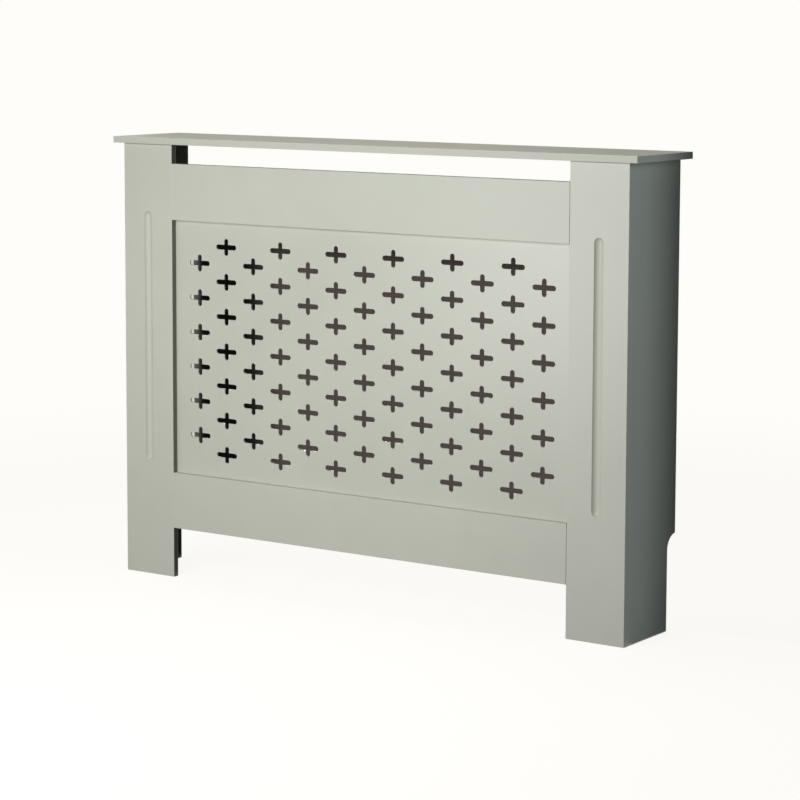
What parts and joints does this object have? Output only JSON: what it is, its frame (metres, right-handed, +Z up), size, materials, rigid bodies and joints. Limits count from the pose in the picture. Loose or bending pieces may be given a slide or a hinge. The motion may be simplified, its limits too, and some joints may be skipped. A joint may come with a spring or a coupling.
{
  "type": "radiator cover cabinet",
  "caption": "Radiator cover cabinet: overhanging shelf, fluted uprights, side panels notched for skirting, and a cross-pierced grille between rails with air slots above and below.",
  "frame": {"origin": "on the floor, at the centre of the shelf's outline seen from above", "axes": "+X to the right along the front as seen from the room, +Y from the front to the wall, +Z up"},
  "size_m": [1.114, 0.188, 0.815],
  "materials": {
    "painted_board": "pale grey-green satin paint on fibreboard",
    "painted_grille": "pale grey-green satin paint on thin hardboard",
    "bare_softwood": "planed, unpainted",
    "dowel_beech": "turned, unpainted",
    "plated_steel": "zinc plated",
    "cast_zinc": "die cast, dull"
  },
  "bodies": {
    "root": {"top_shelf": "painted_board", "left_side_panel": "painted_board", "right_side_panel": "painted_board", "left_front_stile": "painted_board", "right_front_stile": "painted_board", "top_rail": "painted_board", "bottom_rail": "painted_board", "grille_panel": "painted_grille", "left_corner_batten": "bare_softwood", "right_corner_batten": "bare_softwood", "left_post_dowels": "dowel_beech", "right_post_dowels": "dowel_beech", "top_rail_dowels": "dowel_beech", "bottom_rail_dowels": "dowel_beech", "shelf_dowels": "dowel_beech", "cam_bolts": "plated_steel", "cam_locks": "cast_zinc", "shelf_brackets": "plated_steel", "shelf_bracket_screws": "plated_steel", "grille_screws": "plated_steel", "wall_brackets": "plated_steel", "wall_bracket_screws": "plated_steel"}
  },
  "joints": []
}
